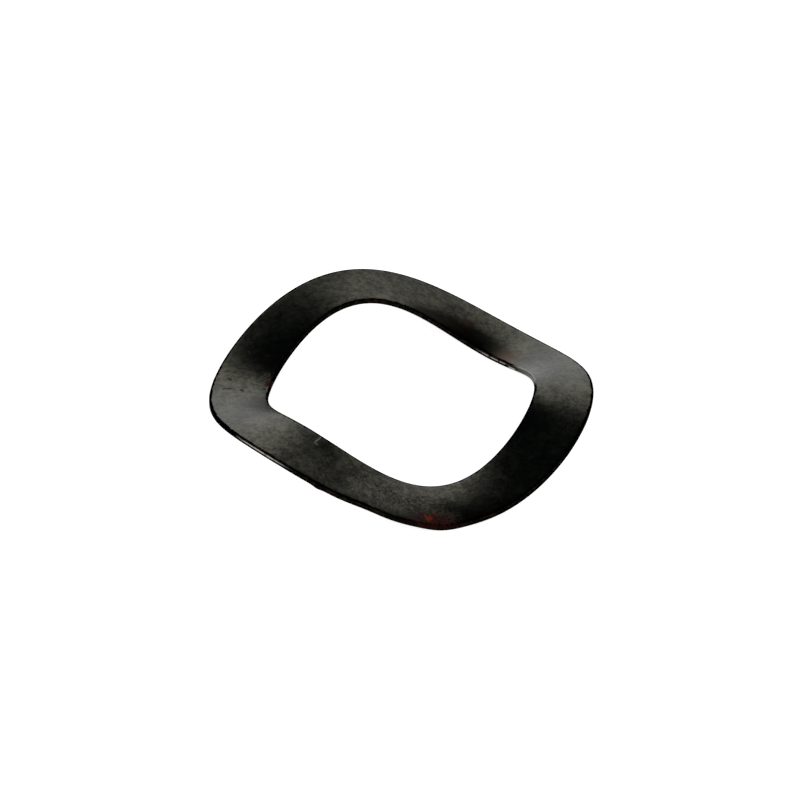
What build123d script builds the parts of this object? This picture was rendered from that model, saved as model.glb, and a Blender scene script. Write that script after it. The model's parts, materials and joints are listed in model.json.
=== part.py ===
"""Wave spring washer: one flat ring of hardened spring steel, blanked and pressed into three waves.

The frame stands on the plane that the three troughs rest on, with +Z up the axis of the hole and
a crest on +X. The height of the sheet depends only on the angle around the axis, so every radial
line across the ring is level. Millimetres and radians.
"""

from build123d import *
from build123d.topology import SkipClean
from math import cos, hypot, pi, sin
import os

os.makedirs("parts", exist_ok=True)

# Driving dimensions
outer_diameter = 27.5
hole_diameter = 19.0
strip_thickness = 0.4
free_height = 3.3  # from the plane under the troughs to the tops of the crests, unloaded
edge_radius = 0.1  # tumbling takes the sharp blanked edges off
wave_count = 3

# The sheet is made of ruled panels, each with the wave's true position and direction at both ends
panels_per_wave = 12
trim_margin = 0.5  # how far the panels reach past the blanked ring on each side

amplitude = (free_height - strip_thickness) / 2
middle_height = free_height / 2
panel_count = wave_count * panels_per_wave
panel_angle = 2 * pi / panel_count
UPPER, LOWER = 1, -1


def sheet_point(radius, angle, side):
    """A point of the upper or lower skin, half the strip away from the wave's middle surface."""
    slope = -wave_count * amplitude * sin(wave_count * angle) / radius
    middle = middle_height + amplitude * cos(wave_count * angle)
    height = middle + side * strip_thickness / 2 * hypot(1, slope)
    return Vector(radius * cos(angle), radius * sin(angle), height)


def sheet_direction(radius, angle, side):
    """How that point moves as the angle grows: the derivative of sheet_point by its angle."""
    slope = -wave_count * amplitude * sin(wave_count * angle) / radius
    slope_change = -(wave_count**2) * amplitude * cos(wave_count * angle) / radius
    thickening = side * strip_thickness / 2 * slope * slope_change / hypot(1, slope)
    return Vector(-radius * sin(angle), radius * cos(angle), radius * slope + thickening)


def panel_edge(radius, start, side):
    """One panel's edge at this radius, as a Bezier curve that runs on smoothly into the next one."""
    end = start + panel_angle
    reach = panel_angle / 3
    first = sheet_point(radius, start, side)
    last = sheet_point(radius, end, side)
    with BuildLine() as edge:
        Bezier(
            first,
            first + sheet_direction(radius, start, side) * reach,
            last - sheet_direction(radius, end, side) * reach,
            last,
        )
    return edge.edge()


def cut_line(diameter):
    """The circle that a blanking punch cuts, in as many arcs as there are panels."""
    degrees = 360 / panel_count
    with BuildLine() as circle:
        for panel in range(panel_count):
            CenterArc((0, 0), diameter / 2, panel * degrees, degrees)
    return circle.wire()


# The waved sheet, a little wider than the ring on both sides
sheet_hole = hole_diameter / 2 - trim_margin
sheet_rim = outer_diameter / 2 + trim_margin
skins = []
for panel in range(panel_count):
    start = panel * panel_angle
    upper_hole, upper_rim = (panel_edge(radius, start, UPPER) for radius in (sheet_hole, sheet_rim))
    lower_hole, lower_rim = (panel_edge(radius, start, LOWER) for radius in (sheet_hole, sheet_rim))
    for one, other in (
        (upper_hole, upper_rim),
        (lower_hole, lower_rim),
        (lower_hole, upper_hole),
        (lower_rim, upper_rim),
    ):
        skins.append(Face.make_surface_from_curves(one, other))
sheet = Solid(Shell(skins))

# Blanking: both cut walls are true cylinders about the axis. They stay in panels, so that each
# panel's wall follows its own stretch of the wave.
with BuildPart() as blank, SkipClean():
    add(sheet, clean=False)
    ring = Face(cut_line(outer_diameter), [cut_line(hole_diameter)])
    extrude(ring, amount=free_height + trim_margin, clean=False, mode=Mode.INTERSECT)

# Tumbling rounds the four cut edges. A fillet inside the builder would merge the panels again.
cut_walls = blank.faces().filter_by(GeomType.CYLINDER)
cut_edges = cut_walls.edges().filter_by(GeomType.LINE, reverse=True)
tumbled = fillet(cut_edges, edge_radius)

with BuildPart() as wave_washer:
    add(tumbled, clean=False)
wave_washer.part.label = "wave_washer"
export_step(wave_washer.part, "parts/wave_washer.step")
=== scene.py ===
"""The looks of a three-wave spring washer: a thin ring of hardened, oil-blackened spring steel.

The ring is one Geometry Nodes sweep, a finer twin of the CAD solid with the same sizes. Its
finish is one procedural steel: mottled black oxide with painted shade in dark patches and on the
cut walls, painted highlights on the walls and the hole's lip, pits, a scratch and a little rust.
Sizes in names that end in _MM are millimetres, and everything handed to Blender is metres.
"""

import json
import math

import bpy
from mathutils import Matrix, Vector


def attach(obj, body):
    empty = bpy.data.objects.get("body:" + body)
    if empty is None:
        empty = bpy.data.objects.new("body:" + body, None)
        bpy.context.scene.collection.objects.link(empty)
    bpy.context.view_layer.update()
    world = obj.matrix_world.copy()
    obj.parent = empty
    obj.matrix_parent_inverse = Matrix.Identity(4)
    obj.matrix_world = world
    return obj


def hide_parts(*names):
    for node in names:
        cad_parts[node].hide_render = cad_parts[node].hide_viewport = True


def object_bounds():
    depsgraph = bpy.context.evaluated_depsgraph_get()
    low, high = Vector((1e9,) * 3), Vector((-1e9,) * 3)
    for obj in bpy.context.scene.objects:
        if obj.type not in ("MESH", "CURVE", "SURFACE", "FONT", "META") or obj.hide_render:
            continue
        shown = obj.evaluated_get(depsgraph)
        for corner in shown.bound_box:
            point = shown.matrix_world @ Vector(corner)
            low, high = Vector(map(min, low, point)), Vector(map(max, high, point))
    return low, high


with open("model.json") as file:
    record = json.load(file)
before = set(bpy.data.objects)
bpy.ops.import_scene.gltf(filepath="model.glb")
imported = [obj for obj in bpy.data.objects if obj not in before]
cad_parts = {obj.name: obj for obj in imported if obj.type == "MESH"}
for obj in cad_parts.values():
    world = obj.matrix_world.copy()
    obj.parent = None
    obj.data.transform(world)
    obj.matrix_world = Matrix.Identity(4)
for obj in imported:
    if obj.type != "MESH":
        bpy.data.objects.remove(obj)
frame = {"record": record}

CAD_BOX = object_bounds()
MM = 0.001

# ---------------------------------------------------------------- sizes, from the frame

LOW, HIGH = CAD_BOX
MOUNTS = {mount["name"]: mount for mount in frame["record"]["mounts"]}
OUTER_RADIUS = (HIGH.x - LOW.x) / 2
HOLE_RADIUS = MOUNTS["shaft_hole"]["dims"]["r_mm"] * MM
FREE_HEIGHT = HIGH.z - LOW.z
STRIP_THICKNESS = 0.4 * MM
EDGE_RADIUS = 0.1 * MM
WAVE_COUNT = 3

# Across its width the strip isn't flat. Blanking leaves a slight crown on it, and bending it into
# a wave bows it the other way, up in the troughs and down on the crests. Both are how far the
# middle of the strip stands off its edges.
STRIP_CROWN = 0.07 * MM
BENDING_BOW = 0.11 * MM

# The cut edges waver a little, and one small burr still stands on the rim.
EDGE_WAVER = 0.03 * MM
BURR_HEIGHT = 0.09 * MM
BURR_HALF_WIDTH = 0.3 * MM
BURR_ANGLE = math.radians(257.3)

# A knock has bent the rim of one trough: down at one place and up just before it.
BEND_DOWN = 0.2 * MM
BEND_DOWN_ANGLE = math.radians(294.0)
BEND_UP = 0.17 * MM
BEND_UP_ANGLE = math.radians(272.0)
BEND_HALF_WIDTH = 1.6 * MM

SEGMENTS_AROUND = 900
CUTS_ACROSS = 15
EDGE_ROUND_POINTS = 5
BROAD_STEP = 1.0 * MM  # a section step longer than this is one of the strip's two broad faces
WAVER_PER_MM = 0.9
EDGE_SHARPNESS = 12.0  # how closely the waver keeps to the two cut edges


# ---------------------------------------------------------------- small tools


def colour(hex_code):
    """A linear RGBA colour from an sRGB hex code such as '#5a5a55'."""
    channels = [int(hex_code[i : i + 2], 16) / 255 for i in (1, 3, 5)]
    linear = [c / 12.92 if c <= 0.04045 else ((c + 0.055) / 1.055) ** 2.4 for c in channels]
    return (*linear, 1.0)


def add_node(tree, kind, inputs=None, **settings):
    """Adds a node. settings are its own properties, and inputs are values or sockets to link."""
    node = tree.nodes.new(kind)
    for name, value in settings.items():
        setattr(node, name, value)
    for key, value in (inputs or {}).items():
        if isinstance(value, bpy.types.NodeSocket):
            tree.links.new(value, node.inputs[key])
        else:
            node.inputs[key].default_value = value
    return node


# ---------------------------------------------------------------- the ring


def rim_bell(tree, foot, rim_radius, angle, half_width):
    """1 at one place on the rim, fading to 0 in a bell shape around it."""
    centre = add_node(
        tree,
        "ShaderNodeCombineXYZ",
        {
            "X": add_node(tree, "ShaderNodeMath", {0: angle}, operation="COSINE").outputs[0],
            "Y": add_node(tree, "ShaderNodeMath", {0: angle}, operation="SINE").outputs[0],
        },
    ).outputs[0]
    centre = add_node(
        tree, "ShaderNodeVectorMath", {0: centre, "Scale": rim_radius}, operation="SCALE"
    ).outputs[0]
    gap = add_node(
        tree, "ShaderNodeVectorMath", {0: foot, 1: centre}, operation="DISTANCE"
    ).outputs["Value"]
    gap = add_node(tree, "ShaderNodeMath", {0: gap, 1: half_width}, operation="DIVIDE").outputs[0]
    gap = add_node(tree, "ShaderNodeMath", {0: gap, 1: 2.0}, operation="POWER").outputs[0]
    gap = add_node(tree, "ShaderNodeMath", {0: gap, 1: -1.0}, operation="MULTIPLY").outputs[0]
    return add_node(tree, "ShaderNodeMath", {0: gap}, operation="EXPONENT").outputs[0]


def ring_tree():
    """Sweeps a rounded strip section round a circle, then lifts each point onto the wave."""
    tree = bpy.data.node_groups.new("waved_ring", "GeometryNodeTree")
    sockets = {
        "NodeSocketFloat": (
            "Outer Radius", "Hole Radius", "Strip Thickness", "Free Height", "Edge Radius",
            "Strip Crown", "Bending Bow", "Edge Waver", "Burr Height", "Burr Half Width", "Burr Angle",
            "Bend Down", "Bend Down Angle", "Bend Up", "Bend Up Angle", "Bend Half Width", "Wave Count",
        ),
        "NodeSocketInt": ("Segments Around", "Cuts Across"),
        "NodeSocketMaterial": ("Finish",),
    }
    for kind, names in sockets.items():
        for name in names:
            tree.interface.new_socket(name, in_out="INPUT", socket_type=kind)
    tree.interface.new_socket("Ring", in_out="OUTPUT", socket_type="NodeSocketGeometry")
    size = add_node(tree, "NodeGroupInput").outputs

    # The strip's section: a rectangle with rounded corners, with extra points along its two
    # broad sides only.
    width = add_node(
        tree, "ShaderNodeMath", {0: size["Outer Radius"], 1: size["Hole Radius"]}, operation="SUBTRACT"
    ).outputs[0]
    both_radii = add_node(
        tree, "ShaderNodeMath", {0: size["Outer Radius"], 1: size["Hole Radius"]}
    ).outputs[0]
    mean_radius = add_node(
        tree, "ShaderNodeMath", {0: both_radii, 1: 0.5}, operation="MULTIPLY"
    ).outputs[0]
    section = add_node(
        tree,
        "GeometryNodeCurvePrimitiveQuadrilateral",
        {"Width": width, "Height": size["Strip Thickness"]},
        mode="RECTANGLE",
    ).outputs[0]
    section = add_node(
        tree,
        "GeometryNodeFilletCurve",
        {"Curve": section, "Radius": size["Edge Radius"], "Count": EDGE_ROUND_POINTS},
        mode="POLY",
    ).outputs[0]
    here = add_node(tree, "GeometryNodeInputPosition").outputs[0]
    next_point = add_node(tree, "GeometryNodeOffsetPointInCurve", {"Offset": 1}).outputs["Point Index"]
    there = add_node(
        tree, "GeometryNodeFieldAtIndex", {"Index": next_point, "Value": here}, data_type="FLOAT_VECTOR"
    ).outputs[0]
    step = add_node(
        tree, "ShaderNodeVectorMath", {0: here, 1: there}, operation="DISTANCE"
    ).outputs["Value"]
    broad = add_node(
        tree, "ShaderNodeMath", {0: step, 1: BROAD_STEP}, operation="GREATER_THAN"
    ).outputs[0]
    cuts = add_node(
        tree, "ShaderNodeMath", {0: broad, 1: size["Cuts Across"]}, operation="MULTIPLY"
    ).outputs[0]
    section = add_node(tree, "GeometryNodeSubdivideCurve", {"Curve": section, "Cuts": cuts}).outputs[0]

    path = add_node(
        tree,
        "GeometryNodeCurvePrimitiveCircle",
        {"Resolution": size["Segments Around"], "Radius": mean_radius},
        mode="RADIUS",
    ).outputs[0]
    path = add_node(tree, "GeometryNodeSetCurveNormal", {"Curve": path}, mode="Z_UP").outputs[0]
    flat_ring = add_node(
        tree, "GeometryNodeCurveToMesh", {"Curve": path, "Profile Curve": section}
    ).outputs[0]

    # Where a point of the flat ring is: its angle around the axis, its radius, and its place
    # across the strip, from -1 at the hole to 1 at the rim.
    xyz = add_node(tree, "ShaderNodeSeparateXYZ", {0: here}).outputs
    foot = add_node(tree, "ShaderNodeCombineXYZ", {"X": xyz["X"], "Y": xyz["Y"]}).outputs[0]
    radius = add_node(tree, "ShaderNodeVectorMath", {0: foot}, operation="LENGTH").outputs["Value"]
    angle = add_node(tree, "ShaderNodeMath", {0: xyz["Y"], 1: xyz["X"]}, operation="ARCTAN2").outputs[0]
    from_middle = add_node(
        tree, "ShaderNodeMath", {0: radius, 1: mean_radius}, operation="SUBTRACT"
    ).outputs[0]
    half_width = add_node(tree, "ShaderNodeMath", {0: width, 1: 0.5}, operation="MULTIPLY").outputs[0]
    across = add_node(
        tree, "ShaderNodeMath", {0: from_middle, 1: half_width}, operation="DIVIDE"
    ).outputs[0]

    # The wave's own swing is half of what the free height leaves beside the strip's thickness.
    swing_both = add_node(
        tree, "ShaderNodeMath", {0: size["Free Height"], 1: size["Strip Thickness"]}, operation="SUBTRACT"
    ).outputs[0]
    swing = add_node(tree, "ShaderNodeMath", {0: swing_both, 1: 0.5}, operation="MULTIPLY").outputs[0]
    phase = add_node(
        tree, "ShaderNodeMath", {0: angle, 1: size["Wave Count"]}, operation="MULTIPLY"
    ).outputs[0]
    cosine = add_node(tree, "ShaderNodeMath", {0: phase}, operation="COSINE").outputs[0]
    sine = add_node(tree, "ShaderNodeMath", {0: phase}, operation="SINE").outputs[0]
    middle_height = add_node(
        tree, "ShaderNodeMath", {0: size["Free Height"], 1: 0.5}, operation="MULTIPLY"
    ).outputs[0]
    height = add_node(
        tree, "ShaderNodeMath", {0: swing, 1: cosine, 2: middle_height}, operation="MULTIPLY_ADD"
    ).outputs[0]

    # The bow across the strip adds to that height, and is nothing at both edges.
    squared = add_node(tree, "ShaderNodeMath", {0: across, 1: across}, operation="MULTIPLY").outputs[0]
    inside = add_node(tree, "ShaderNodeMath", {0: 1.0, 1: squared}, operation="SUBTRACT").outputs[0]
    bending = add_node(
        tree, "ShaderNodeMath", {0: size["Bending Bow"], 1: cosine}, operation="MULTIPLY"
    ).outputs[0]
    bow = add_node(
        tree, "ShaderNodeMath", {0: size["Strip Crown"], 1: bending}, operation="SUBTRACT"
    ).outputs[0]
    height = add_node(
        tree, "ShaderNodeMath", {0: bow, 1: inside, 2: height}, operation="MULTIPLY_ADD"
    ).outputs[0]

    # The knocked rim adds two bells, each widest at the rim and gone before the hole.
    down = rim_bell(tree, foot, size["Outer Radius"], size["Bend Down Angle"], size["Bend Half Width"])
    down = add_node(
        tree, "ShaderNodeMath", {0: down, 1: size["Bend Down"]}, operation="MULTIPLY"
    ).outputs[0]
    up = rim_bell(tree, foot, size["Outer Radius"], size["Bend Up Angle"], size["Bend Half Width"])
    height = add_node(
        tree, "ShaderNodeMath", {0: up, 1: size["Bend Up"], 2: height}, operation="MULTIPLY_ADD"
    ).outputs[0]
    height = add_node(tree, "ShaderNodeMath", {0: height, 1: down}, operation="SUBTRACT").outputs[0]

    # Going round, the sheet falls by swing * waves * sine for each radian, and the strip's
    # thickness stands square to it.
    fall = add_node(tree, "ShaderNodeMath", {0: swing, 1: sine}, operation="MULTIPLY").outputs[0]
    fall = add_node(
        tree, "ShaderNodeMath", {0: fall, 1: size["Wave Count"]}, operation="MULTIPLY"
    ).outputs[0]
    fall = add_node(tree, "ShaderNodeMath", {0: fall, 1: radius}, operation="DIVIDE").outputs[0]
    along = add_node(
        tree, "ShaderNodeVectorMath", {0: (0.0, 0.0, 1.0), 1: foot}, operation="CROSS_PRODUCT"
    ).outputs[0]
    along = add_node(tree, "ShaderNodeVectorMath", {0: along}, operation="NORMALIZE").outputs[0]
    lean = add_node(tree, "ShaderNodeVectorMath", {0: along, "Scale": fall}, operation="SCALE").outputs[0]
    upright = add_node(tree, "ShaderNodeVectorMath", {0: lean, 1: (0.0, 0.0, 1.0)}).outputs[0]
    upright = add_node(tree, "ShaderNodeVectorMath", {0: upright}, operation="NORMALIZE").outputs[0]
    off_middle = add_node(
        tree, "ShaderNodeVectorMath", {0: upright, "Scale": xyz["Z"]}, operation="SCALE"
    ).outputs[0]
    lift = add_node(tree, "ShaderNodeCombineXYZ", {"Z": height}).outputs[0]
    place = add_node(tree, "ShaderNodeVectorMath", {0: foot, 1: lift}).outputs[0]
    place = add_node(tree, "ShaderNodeVectorMath", {0: place, 1: off_middle}).outputs[0]

    # Outward push: the waver grows towards both edges, and the burr is a small bell on the rim.
    waver = add_node(
        tree, "ShaderNodeTexNoise", {"Vector": foot, "Scale": WAVER_PER_MM / MM, "Detail": 3.0}
    ).outputs["Fac"]
    waver = add_node(tree, "ShaderNodeMath", {0: waver, 1: 0.5}, operation="SUBTRACT").outputs[0]
    waver = add_node(
        tree, "ShaderNodeMath", {0: waver, 1: size["Edge Waver"]}, operation="MULTIPLY"
    ).outputs[0]
    near_edge = add_node(
        tree, "ShaderNodeMath", {0: squared, 1: EDGE_SHARPNESS}, operation="POWER"
    ).outputs[0]
    waver = add_node(tree, "ShaderNodeMath", {0: waver, 1: near_edge}, operation="MULTIPLY").outputs[0]
    burr = rim_bell(tree, foot, size["Outer Radius"], size["Burr Angle"], size["Burr Half Width"])
    push = add_node(
        tree, "ShaderNodeMath", {0: burr, 1: size["Burr Height"], 2: waver}, operation="MULTIPLY_ADD"
    ).outputs[0]
    outward = add_node(tree, "ShaderNodeVectorMath", {0: foot}, operation="NORMALIZE").outputs[0]
    outward = add_node(
        tree, "ShaderNodeVectorMath", {0: outward, "Scale": push}, operation="SCALE"
    ).outputs[0]
    place = add_node(tree, "ShaderNodeVectorMath", {0: place, 1: outward}).outputs[0]

    # The finish needs to know how far up the cut walls it is: -1 underneath, 1 on top.
    half_thickness = add_node(
        tree, "ShaderNodeMath", {0: size["Strip Thickness"], 1: 0.5}, operation="MULTIPLY"
    ).outputs[0]
    through = add_node(
        tree, "ShaderNodeMath", {0: xyz["Z"], 1: half_thickness}, operation="DIVIDE"
    ).outputs[0]
    flat_ring = add_node(
        tree,
        "GeometryNodeStoreNamedAttribute",
        {"Geometry": flat_ring, "Name": "through", "Value": through},
        data_type="FLOAT",
        domain="POINT",
    ).outputs[0]
    ring = add_node(
        tree, "GeometryNodeSetPosition", {"Geometry": flat_ring, "Position": place}
    ).outputs[0]

    ring = add_node(tree, "GeometryNodeSetShadeSmooth", {"Geometry": ring}).outputs[0]
    ring = add_node(tree, "GeometryNodeRealizeInstances", {"Geometry": ring}).outputs[0]
    ring = add_node(
        tree, "GeometryNodeSetMaterial", {"Geometry": ring, "Material": size["Finish"]}
    ).outputs[0]
    add_node(tree, "NodeGroupOutput", {"Ring": ring})
    return tree


def plain_mesh(name, tree, values):
    """Runs a tree once with the named values and keeps its result as a mesh of its own."""
    maker = bpy.data.objects.new(name + "_maker", bpy.data.meshes.new(name + "_maker"))
    bpy.context.scene.collection.objects.link(maker)
    modifier = maker.modifiers.new("nodes", "NODES")
    modifier.node_group = tree
    for item in tree.interface.items_tree:
        if item.item_type == "SOCKET" and item.in_out == "INPUT":
            modifier[item.identifier] = values[item.name]
    evaluated = maker.evaluated_get(bpy.context.evaluated_depsgraph_get())
    mesh = bpy.data.meshes.new_from_object(evaluated)
    maker.modifiers.remove(modifier)
    bpy.data.objects.remove(maker)
    mesh.name = name
    piece = bpy.data.objects.new(name, mesh)
    bpy.context.scene.collection.objects.link(piece)
    return piece


# ---------------------------------------------------------------- finishes


def place_mm(tree):
    """Where a shading point is on the washer, in millimetres, and which way it faces."""
    coordinates = add_node(tree, "ShaderNodeTexCoord").outputs
    place = add_node(
        tree, "ShaderNodeVectorMath", {0: coordinates["Object"], "Scale": 1 / MM}, operation="SCALE"
    ).outputs[0]
    return place, coordinates["Normal"]


def faded(tree, value, start, end):
    """A mask that rises smoothly from 0 where the value is start to 1 where it is end."""
    return add_node(
        tree,
        "ShaderNodeMapRange",
        {"Value": value, "From Min": start, "From Max": end},
        interpolation_type="SMOOTHSTEP",
    ).outputs[0]


SPOT_DEPTH_MM = 1000.0  # a spot goes right through the strip


def spot(tree, place, angle, radius, around, across, edge=0.5):
    """A mask that is 1 inside an oval on the ring and fades to 0 past its outline.

    The angle is in degrees and the radius in millimetres, both from the ring's axis. around and
    across are the oval's half sizes, and edge is how much of them the fade takes.
    """
    turn = math.radians(angle)
    local = add_node(
        tree,
        "ShaderNodeMapping",
        {
            "Vector": place,
            "Location": (radius * math.cos(turn), radius * math.sin(turn), 0.0),
            "Rotation": (0.0, 0.0, turn),
            "Scale": (across, around, SPOT_DEPTH_MM),
        },
        vector_type="TEXTURE",
    ).outputs[0]
    reach = add_node(tree, "ShaderNodeVectorMath", {0: local}, operation="LENGTH").outputs["Value"]
    return faded(tree, reach, 1 + edge / 2, 1 - edge / 2)


def any_of(tree, masks):
    """The strongest of several masks."""
    strongest = masks[0]
    for mask in masks[1:]:
        strongest = add_node(
            tree, "ShaderNodeMath", {0: strongest, 1: mask}, operation="MAXIMUM"
        ).outputs[0]
    return strongest


def all_of(tree, masks):
    """Where several masks meet. A plain number among them thins the rest."""
    shared = masks[0]
    for mask in masks[1:]:
        shared = add_node(tree, "ShaderNodeMath", {0: shared, 1: mask}, operation="MULTIPLY").outputs[0]
    return shared


def coat(tree, below, above, masks):
    """Lays the colour above over the colour below where all the masks meet."""
    inputs = {"Factor": all_of(tree, masks), "A": below, "B": above}
    return add_node(tree, "ShaderNodeMix", inputs, data_type="RGBA").outputs["Result"]


NOISE_ROUGHNESS = 0.62  # how strongly the finer layers of each noise show

# The finish's noises: features to a millimetre, layers of finer detail, and distortion. The real
# oxide's grain is finer than 0.2 mm and wouldn't show.
PATTERNS = {
    "clouds": (0.55, 3.0, 0.0),  # oxide clouds 1.8 mm wide
    "blotches": (2.4, 4.0, 0.0),  # oxide blotches of 0.4 mm
    "grain": (5.0, 2.0, 0.0),  # oxide grain of 0.2 mm
    "wrinkles": (3.0, 3.0, 1.5),  # dark wrinkles of crept scale, 0.33 mm apart
    "ridges": (2.6, 2.0, 2.0),  # the lighter ridges between them
    "breaks": (1.5, 1.0, 0.0),  # breaks in the hairlines, 0.7 mm
    "chewed": (2.0, 3.0, 0.0),  # the ragged border of the cut edges' dark band, 0.5 mm
    "sheen": (1.4, 4.0, 0.0),  # gloss patches of 0.7 mm
    "pebble": (2.2, 3.0, 0.0),  # the low relief that rolling leaves, 0.45 mm
}

# How rough the oxide is where it shines most and least, and how high the relief stands.
GLOSSY, SATIN = 0.21, 0.28
RELIEF_HEIGHT = 0.006 * MM


def blackened_spring_steel():
    """Hardened and tempered strip under an oil-black oxide: dark, semi-gloss and softly mottled."""
    material = bpy.data.materials.new("blackened_spring_steel")
    material.use_nodes = True
    tree = material.node_tree
    tree.nodes.clear()
    place, facing = place_mm(tree)
    rim_mm, hole_mm = OUTER_RADIUS / MM, HOLE_RADIUS / MM
    noise = {}
    for name, (per_mm, detail, distortion) in PATTERNS.items():
        noise[name] = add_node(
            tree,
            "ShaderNodeTexNoise",
            {
                "Vector": place,
                "Scale": per_mm,
                "Detail": detail,
                "Roughness": NOISE_ROUGHNESS,
                "Distortion": distortion,
            },
        ).outputs["Fac"]

    # Ragged places: the same points, pushed about by a third of a millimetre or so, so that
    # stains, rust and pits get torn outlines.
    tear = add_node(
        tree,
        "ShaderNodeTexNoise",
        {"Vector": place, "Scale": 2.2, "Detail": 4.0, "Roughness": NOISE_ROUGHNESS},
    ).outputs["Color"]
    tear = add_node(
        tree, "ShaderNodeVectorMath", {0: tear, 1: (0.5, 0.5, 0.5)}, operation="SUBTRACT"
    ).outputs[0]
    tear = add_node(tree, "ShaderNodeVectorMath", {0: tear, "Scale": 0.9}, operation="SCALE").outputs[0]
    ragged = add_node(tree, "ShaderNodeVectorMath", {0: place, 1: tear}).outputs[0]

    # The two cut walls with their rolled edges. Their near-black band, partly dark oxide and partly
    # painted shade, ends in a ragged border 0.12 to 0.24 mm in from the wall.
    xyz = add_node(tree, "ShaderNodeSeparateXYZ", {0: place}).outputs
    foot = add_node(tree, "ShaderNodeCombineXYZ", {"X": xyz["X"], "Y": xyz["Y"]}).outputs[0]
    radius = add_node(tree, "ShaderNodeVectorMath", {0: foot}, operation="LENGTH").outputs["Value"]
    chewed = add_node(
        tree, "ShaderNodeMath", {0: noise["chewed"], 1: 0.5}, operation="SUBTRACT"
    ).outputs[0]
    border = add_node(
        tree, "ShaderNodeMath", {0: chewed, 1: 0.3, 2: radius}, operation="MULTIPLY_ADD"
    ).outputs[0]
    rim_edge = faded(tree, border, rim_mm - 0.24, rim_mm - 0.14)
    hole_edge = faded(tree, border, hole_mm + 0.22, hole_mm + 0.12)
    edges = any_of(tree, [rim_edge, hole_edge])
    upward = add_node(tree, "ShaderNodeSeparateXYZ", {0: facing}).outputs["Z"]
    top_side = faded(tree, upward, -0.3, 0.3)

    # Oxide: clouds, blotches and grain together.
    tone = add_node(tree, "ShaderNodeMath", {0: noise["clouds"], 1: 0.3}, operation="MULTIPLY").outputs[0]
    for name, share in (("blotches", 0.4), ("grain", 0.3)):
        tone = add_node(
            tree, "ShaderNodeMath", {0: noise[name], 1: share, 2: tone}, operation="MULTIPLY_ADD"
        ).outputs[0]
    oxide = coat(tree, colour("#292924"), colour("#56554a"), [faded(tree, tone, 0.38, 0.62)])

    # Dark wrinkles crowd together on one limb, where the scale has crept.
    crept = spot(tree, ragged, angle=284, radius=11.5, around=4.2, across=1.5, edge=1.4)
    wrinkles = faded(tree, noise["wrinkles"], 0.54, 0.42)
    oxide = coat(tree, oxide, colour("#12120f"), [wrinkles, crept, 0.85])
    ridges = faded(tree, noise["ridges"], 0.56, 0.64)
    oxide = coat(tree, oxide, colour("#6a695e"), [ridges, crept, 0.5])

    # Hairlines: light handling marks that wander over one limb of the ring.
    wander = add_node(
        tree, "ShaderNodeTexNoise", {"Vector": place, "Scale": 1.3, "Detail": 2.0}
    ).outputs["Color"]
    wander = add_node(
        tree, "ShaderNodeVectorMath", {0: wander, "Scale": 1.6}, operation="SCALE"
    ).outputs[0]
    wandered = add_node(tree, "ShaderNodeVectorMath", {0: place, 1: wander}).outputs[0]
    lines = add_node(
        tree, "ShaderNodeTexVoronoi", {"Vector": wandered, "Scale": 1.3}, feature="DISTANCE_TO_EDGE"
    ).outputs["Distance"]
    hairlines = faded(tree, lines, 0.06, 0.0)
    sparse = faded(tree, noise["breaks"], 0.45, 0.62)
    handled = spot(tree, place, angle=262, radius=11.6, around=6.5, across=2.6, edge=1.2)
    finish = coat(tree, oxide, colour("#77766d"), [hairlines, sparse, handled, 0.4])

    # One long scratch runs out to the hole's edge, forked at its end.
    scratch = any_of(
        tree,
        [
            spot(tree, place, angle=246.4, radius=10.03, around=0.075, across=0.42, edge=0.8),
            spot(tree, place, angle=247.4, radius=10.42, around=0.12, across=0.05, edge=1.2),
        ],
    )
    finish = coat(tree, finish, colour("#a5a39a"), [scratch, top_side])

    # Painted shade: dark patches painted along the hole's edge in one trough and along the rim.
    painted_shade = any_of(
        tree,
        [
            spot(tree, ragged, angle=70, radius=hole_mm, around=3.6, across=1.75, edge=0.5),
            spot(tree, ragged, angle=84, radius=hole_mm, around=2.2, across=1.1, edge=0.5),
            spot(tree, ragged, angle=296, radius=rim_mm + 0.2, around=9.0, across=1.1, edge=1.3),
        ],
    )
    finish = coat(tree, finish, colour("#12110a"), [painted_shade, top_side, 0.9])

    # Where the oil scorched thinner, at one end of that painted shade and at one crest, the oxide is
    # brown.
    brown = any_of(
        tree,
        [
            spot(tree, ragged, angle=49, radius=10.1, around=1.1, across=0.8, edge=1.5),
            spot(tree, ragged, angle=116, radius=hole_mm, around=1.7, across=0.3, edge=1.2),
            spot(tree, ragged, angle=75, radius=11.2, around=0.4, across=0.35, edge=1.5),
        ],
    )
    finish = coat(tree, finish, colour("#3e2b1c"), [brown, top_side, 0.7])

    # Cut walls and rolled edges: near black, partly dark oxide and partly painted shade. The hole's
    # wall is greyer along one crest, with a painted highlight on its lip there.
    through = add_node(tree, "ShaderNodeAttribute", attribute_name="through").outputs["Fac"]
    grey_wall_and_lip_highlight = spot(tree, place, angle=25, radius=hole_mm, around=2.6, across=0.6, edge=0.8)
    grey_wall_and_lip_highlight = all_of(tree, [hole_edge, grey_wall_and_lip_highlight])
    wall = coat(
        tree, colour("#0b0b0a"), colour("#241b15"), [faded(tree, noise["blotches"], 0.48, 0.62)]
    )
    wall = coat(tree, wall, colour("#211f1d"), [grey_wall_and_lip_highlight])
    wall = coat(tree, wall, colour("#7b7973"), [grey_wall_and_lip_highlight, faded(tree, through, 0.55, 0.85)])
    finish = coat(tree, finish, wall, [edges])
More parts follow.
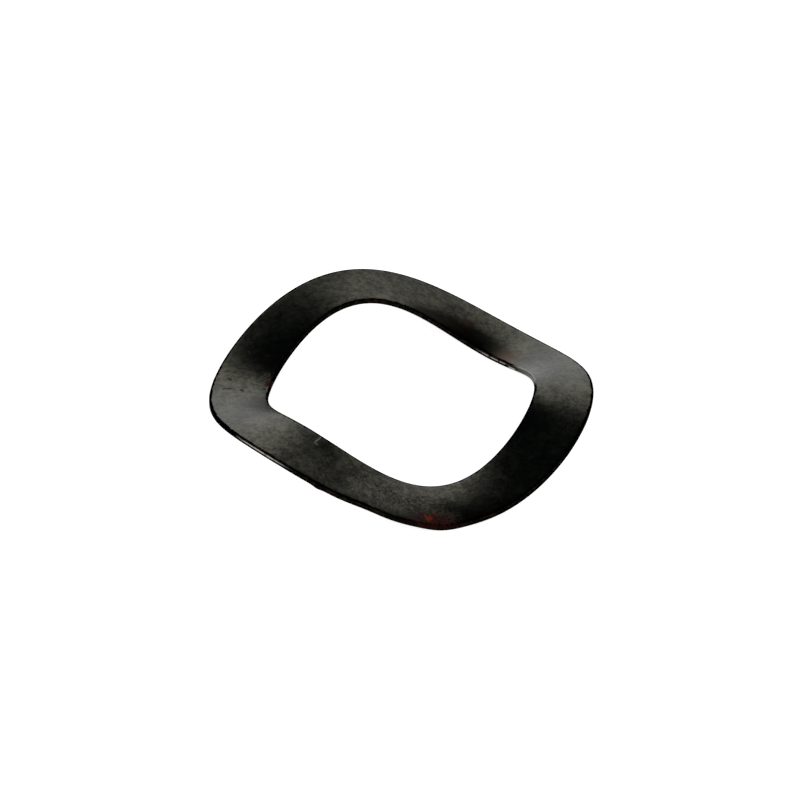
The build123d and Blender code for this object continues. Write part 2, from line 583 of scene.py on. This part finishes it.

    # Painted highlight: a thin stripe along each wall is painted as bright raw steel where the wall
    # catches the light, and a small pale patch shows low on the hole's wall.
    rim_wall_highlight = spot(tree, place, angle=236, radius=rim_mm, around=2.1, across=0.6, edge=1.2)
    hole_wall_highlight = spot(tree, place, angle=53, radius=hole_mm, around=1.6, across=0.6, edge=0.9)
    wall_highlights = any_of(tree, [rim_wall_highlight, all_of(tree, [hole_wall_highlight, 0.6])])
    stripe = all_of(tree, [faded(tree, through, 0.0, 0.25), faded(tree, through, 0.75, 0.5)])
    stripe = all_of(tree, [stripe, faded(tree, noise["blotches"], 0.3, 0.48)])
    pale_patch = spot(tree, place, angle=41.5, radius=hole_mm, around=0.4, across=0.6, edge=0.9)
    pale_patch = all_of(tree, [pale_patch, faded(tree, through, 0.2, -0.1)])
    wall_highlights_and_pale_patch = any_of(tree, [all_of(tree, [wall_highlights, stripe]), pale_patch])
    finish = coat(tree, finish, colour("#c6c2b8"), [wall_highlights_and_pale_patch, edges])

    # Pits: short, dark, mostly pointing across the strip. Two are shallower than the others.
    faint_pit = spot(tree, ragged, angle=182.7, radius=12.55, around=0.11, across=0.2, edge=1.5)
    fainter_pit = spot(tree, ragged, angle=176.0, radius=12.1, around=0.1, across=0.2, edge=1.5)
    pits = any_of(
        tree,
        [
            spot(tree, ragged, angle=188.8, radius=12.35, around=0.09, across=0.36, edge=1.3),
            spot(tree, ragged, angle=189.4, radius=11.4, around=0.13, across=0.16, edge=1.3),
            all_of(tree, [faint_pit, 0.7]),
            all_of(tree, [fainter_pit, 0.5]),
        ],
    )
    pits = all_of(tree, [pits, top_side])
    finish = coat(tree, finish, colour("#14120f"), [pits, 0.65])

    # Rust: a dull dark-red film, thinner along the rim, with orange grains in its thickest spots.
    rim_film = spot(tree, ragged, angle=293.0, radius=13.7, around=1.9, across=0.35, edge=1.0)
    film = any_of(
        tree,
        [
            spot(tree, ragged, angle=291.5, radius=13.15, around=1.5, across=0.75, edge=1.2),
            all_of(tree, [rim_film, 0.5]),
            spot(tree, ragged, angle=180.5, radius=9.8, around=0.4, across=0.3, edge=1.2),
            spot(tree, ragged, angle=176.3, radius=10.1, around=0.2, across=0.15, edge=1.2),
            spot(tree, ragged, angle=186.0, radius=9.9, around=0.2, across=0.12, edge=1.2),
        ],
    )
    film = all_of(tree, [film, faded(tree, noise["grain"], 0.36, 0.52), top_side])
    heart = any_of(
        tree,
        [
            spot(tree, ragged, angle=290.2, radius=13.05, around=0.3, across=0.3, edge=1.3),
            spot(tree, ragged, angle=292.6, radius=12.5, around=0.13, across=0.18, edge=1.3),
        ],
    )
    heart = all_of(tree, [heart, faded(tree, noise["grain"], 0.46, 0.58), top_side])
    rust = coat(tree, colour("#300b06"), colour("#86380f"), [heart])
    finish = coat(tree, finish, rust, [film])

    # Under the film hardly any metal shows, and the film itself barely shines.
    metal = add_node(
        tree, "ShaderNodeMath", {0: film, 1: -0.8, 2: 1.0}, operation="MULTIPLY_ADD"
    ).outputs[0]
    shine = add_node(
        tree, "ShaderNodeMath", {0: film, 1: -0.42, 2: 0.5}, operation="MULTIPLY_ADD"
    ).outputs[0]

    # Gloss: the oxide's sheen varies in soft patches, and rust and pits are matt.
    roughness = add_node(
        tree,
        "ShaderNodeMapRange",
        {"Value": noise["sheen"], "From Min": 0.3, "From Max": 0.7, "To Min": GLOSSY, "To Max": SATIN},
    ).outputs[0]
    dull = any_of(tree, [film, pits])
    roughness = add_node(
        tree, "ShaderNodeMath", {0: dull, 1: 0.5, 2: roughness}, operation="MULTIPLY_ADD"
    ).outputs[0]

    # Seen edge-on, the cut edges stay dark where the faces brighten, partly dark oxide and partly painted
    # shade.
    dark_edges = add_node(tree, "ShaderNodeMath", {0: edges, 1: grey_wall_and_lip_highlight}, operation="SUBTRACT").outputs[0]
    glint = coat(tree, colour("#ffffff"), colour("#3c3b38"), [dark_edges])

    # Relief: pits sink into the rolled pebble, and rust stands on it.
    relief = noise["pebble"]
    for mark, height in ((pits, -2.0), (all_of(tree, [film, noise["grain"]]), 4.0)):
        relief = add_node(
            tree, "ShaderNodeMath", {0: mark, 1: height, 2: relief}, operation="MULTIPLY_ADD"
        ).outputs[0]
    bump = add_node(
        tree, "ShaderNodeBump", {"Height": relief, "Distance": RELIEF_HEIGHT, "Strength": 1.0}
    ).outputs[0]

    steel = add_node(
        tree,
        "ShaderNodeBsdfPrincipled",
        {
            "Base Color": finish,
            "Metallic": metal,
            "Roughness": roughness,
            "Specular IOR Level": shine,
            "Specular Tint": glint,
            "Normal": bump,
        },
    )
    add_node(tree, "ShaderNodeOutputMaterial", {"Surface": steel.outputs[0]})
    return material


# The floor's own glow, as the camera sees it and as the steel mirrors it. It keeps the backdrop
# white and leaves the washer's shadow faint.
SEEN_GLOW = 0.78
MIRRORED_GLOW = 0.26


def white_card():
    """Matt white board: a soft white that shows no grain, lit mostly by its own glow."""
    material = bpy.data.materials.new("white_card")
    material.use_nodes = True
    tree = material.node_tree
    tree.nodes.clear()
    matt = add_node(tree, "ShaderNodeBsdfDiffuse", {"Color": colour("#f7f7f7")})
    rays = add_node(tree, "ShaderNodeLightPath").outputs
    mirrored = add_node(
        tree, "ShaderNodeMath", {0: rays["Is Glossy Ray"], 1: MIRRORED_GLOW}, operation="MULTIPLY"
    ).outputs[0]
    strength = add_node(
        tree,
        "ShaderNodeMath",
        {0: rays["Is Camera Ray"], 1: SEEN_GLOW, 2: mirrored},
        operation="MULTIPLY_ADD",
    ).outputs[0]
    glow = add_node(tree, "ShaderNodeEmission", {"Strength": strength})
    both = add_node(tree, "ShaderNodeAddShader", {0: matt.outputs[0], 1: glow.outputs[0]})
    add_node(tree, "ShaderNodeOutputMaterial", {"Surface": both.outputs[0]})
    return material


# ---------------------------------------------------------------- build the washer

steel = blackened_spring_steel()
washer = plain_mesh(
    "washer_ring",
    ring_tree(),
    {
        "Outer Radius": OUTER_RADIUS,
        "Hole Radius": HOLE_RADIUS,
        "Strip Thickness": STRIP_THICKNESS,
        "Free Height": FREE_HEIGHT,
        "Edge Radius": EDGE_RADIUS,
        "Strip Crown": STRIP_CROWN,
        "Bending Bow": BENDING_BOW,
        "Edge Waver": EDGE_WAVER,
        "Burr Height": BURR_HEIGHT,
        "Burr Half Width": BURR_HALF_WIDTH,
        "Burr Angle": BURR_ANGLE,
        "Bend Down": BEND_DOWN,
        "Bend Down Angle": BEND_DOWN_ANGLE,
        "Bend Up": BEND_UP,
        "Bend Up Angle": BEND_UP_ANGLE,
        "Bend Half Width": BEND_HALF_WIDTH,
        "Wave Count": float(WAVE_COUNT),
        "Segments Around": SEGMENTS_AROUND,
        "Cuts Across": CUTS_ACROSS,
        "Finish": steel,
    },
)
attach(washer, "root")
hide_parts("wave_washer")

# ---------------------------------------------------------------- the studio

FLOOR_HALF = 1.5
FLOOR_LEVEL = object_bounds()[0].z  # the washer stands on its lowest point, the knocked rim
floor_mesh = bpy.data.meshes.new("floor")
corners = [(x * FLOOR_HALF, y * FLOOR_HALF, FLOOR_LEVEL) for x, y in ((-1, -1), (1, -1), (1, 1), (-1, 1))]
floor_mesh.from_pydata(corners, [], [(0, 1, 2, 3)])
floor = bpy.data.objects.new("floor", floor_mesh)
bpy.context.scene.collection.objects.link(floor)
floor_mesh.materials.append(white_card())

VIEW_AZIMUTH = math.radians(9.38)  # the camera's place round the washer, from -Y towards +X
VIEW_ELEVATION = math.radians(36.37)
VIEW_ROLL = math.radians(-3.97)
VIEW_DISTANCE = 176.4 * MM
VIEW_ABOVE = 0.62 * MM  # how far the washer's middle stands above the middle of the view
VIEW_RIGHT = 0.06 * MM  # and to the right of it
LENS_MM = 110.35
SENSOR_MM = 36.0


# The tent's brightness by the sine of the elevation: bright walls, and a dark roof with a cold tint.
TENT_STOPS = (
    (0.0, (0.5, 0.5, 0.5)),
    (0.13, (0.68, 0.68, 0.68)),
    (0.3, (0.86, 0.86, 0.86)),
    (0.54, (0.81, 0.81, 0.81)),
    (0.61, (0.66, 0.66, 0.66)),
    (0.68, (0.33, 0.33, 0.33)),
    (0.735, (0.075, 0.08, 0.08)),
    (0.79, (0.01, 0.02, 0.02)),
    (0.86, (0.0, 0.008, 0.009)),
)
ROOF_LEAN = 0.08  # the roof's edge hangs lower on the side at -X
TENT_BRIGHT_SIDE = 1.4  # times that on the side at -X, where its lamp stands
TENT_DIM_SIDE = 0.65  # and on the side at +X
TENT_SIDE_REACH = 0.36  # how far to each side, as a share of the way out, that change takes


def light_tent():
    """Bright walls that fade into a dark roof: what semi-gloss steel mirrors in a studio tent."""
    world = bpy.data.worlds.new("light_tent")
    bpy.context.scene.world = world
    world.use_nodes = True
    tree = world.node_tree
    tree.nodes.clear()
    direction = add_node(tree, "ShaderNodeTexCoord").outputs["Generated"]
    direction = add_node(tree, "ShaderNodeSeparateXYZ", {0: direction}).outputs
    leaning = add_node(
        tree,
        "ShaderNodeMath",
        {0: direction["X"], 1: -ROOF_LEAN, 2: direction["Z"]},
        operation="MULTIPLY_ADD",
    ).outputs[0]
    ramp = add_node(tree, "ShaderNodeValToRGB", {"Fac": leaning})
    elements = ramp.color_ramp.elements
    while len(elements) < len(TENT_STOPS):
        elements.new(0.5)
    for element, (place, level) in zip(elements, TENT_STOPS):
        element.position = place
        element.color = (*level, 1.0)
    side = add_node(
        tree,
        "ShaderNodeMapRange",
        {
            "Value": direction["X"],
            "From Min": -TENT_SIDE_REACH,
            "From Max": TENT_SIDE_REACH,
            "To Min": TENT_BRIGHT_SIDE,
            "To Max": TENT_DIM_SIDE,
        },
    ).outputs[0]
    walls = add_node(
        tree, "ShaderNodeVectorMath", {0: ramp.outputs["Color"], "Scale": side}, operation="SCALE"
    ).outputs[0]
    camera_ray = add_node(tree, "ShaderNodeLightPath").outputs["Is Camera Ray"]
    seen = coat(tree, walls, colour("#ffffff"), [camera_ray])
    background = add_node(tree, "ShaderNodeBackground", {"Color": seen})
    add_node(tree, "ShaderNodeOutputWorld", {"Surface": background.outputs[0]})


light_tent()


def softbox(name, azimuth, elevation, distance, side, watts):
    """A square soft lamp aimed at the washer, placed by its direction from it in degrees."""
    a, e = math.radians(azimuth), math.radians(elevation)
    toward = Vector((math.cos(a) * math.cos(e), math.sin(a) * math.cos(e), math.sin(e)))
    lamp = bpy.data.lights.new(name, "AREA")
    lamp.shape = "SQUARE"
    lamp.size = side
    lamp.energy = watts
    piece = bpy.data.objects.new(name, lamp)
    piece.location = toward * distance
    piece.rotation_euler = toward.to_track_quat("Z", "Y").to_euler()
    bpy.context.scene.collection.objects.link(piece)


for lamp_name, lamp_azimuth in (("left_lamp", -160.0), ("right_lamp", -10.0)):
    softbox(lamp_name, lamp_azimuth, elevation=32.0, distance=0.8, side=0.5, watts=1.5)


def make_camera():
    """A long lens that looks down on the washer, a little turned and rolled."""
    right = Vector((math.cos(VIEW_AZIMUTH), math.sin(VIEW_AZIMUTH), 0.0))
    back = Vector(
        (
            math.sin(VIEW_AZIMUTH) * math.cos(VIEW_ELEVATION),
            -math.cos(VIEW_AZIMUTH) * math.cos(VIEW_ELEVATION),
            math.sin(VIEW_ELEVATION),
        )
    )
    up = back.cross(right)
    turn = Matrix.Rotation(-VIEW_ROLL, 4, back)
    right, up = turn @ right, turn @ up
    aim = Vector((0.0, 0.0, LOW.z + FREE_HEIGHT / 2)) - up * VIEW_ABOVE - right * VIEW_RIGHT
    data = bpy.data.cameras.new("camera")
    data.lens = LENS_MM
    data.sensor_width = SENSOR_MM
    data.clip_start = 0.01
    data.clip_end = 10.0
    camera = bpy.data.objects.new("camera", data)
    camera.matrix_world = Matrix.Translation(aim + back * VIEW_DISTANCE) @ Matrix(
        (right, up, back)
    ).transposed().to_4x4()
    bpy.context.scene.collection.objects.link(camera)
    bpy.context.scene.camera = camera


make_camera()
bpy.context.scene.view_settings.view_transform = "Standard"
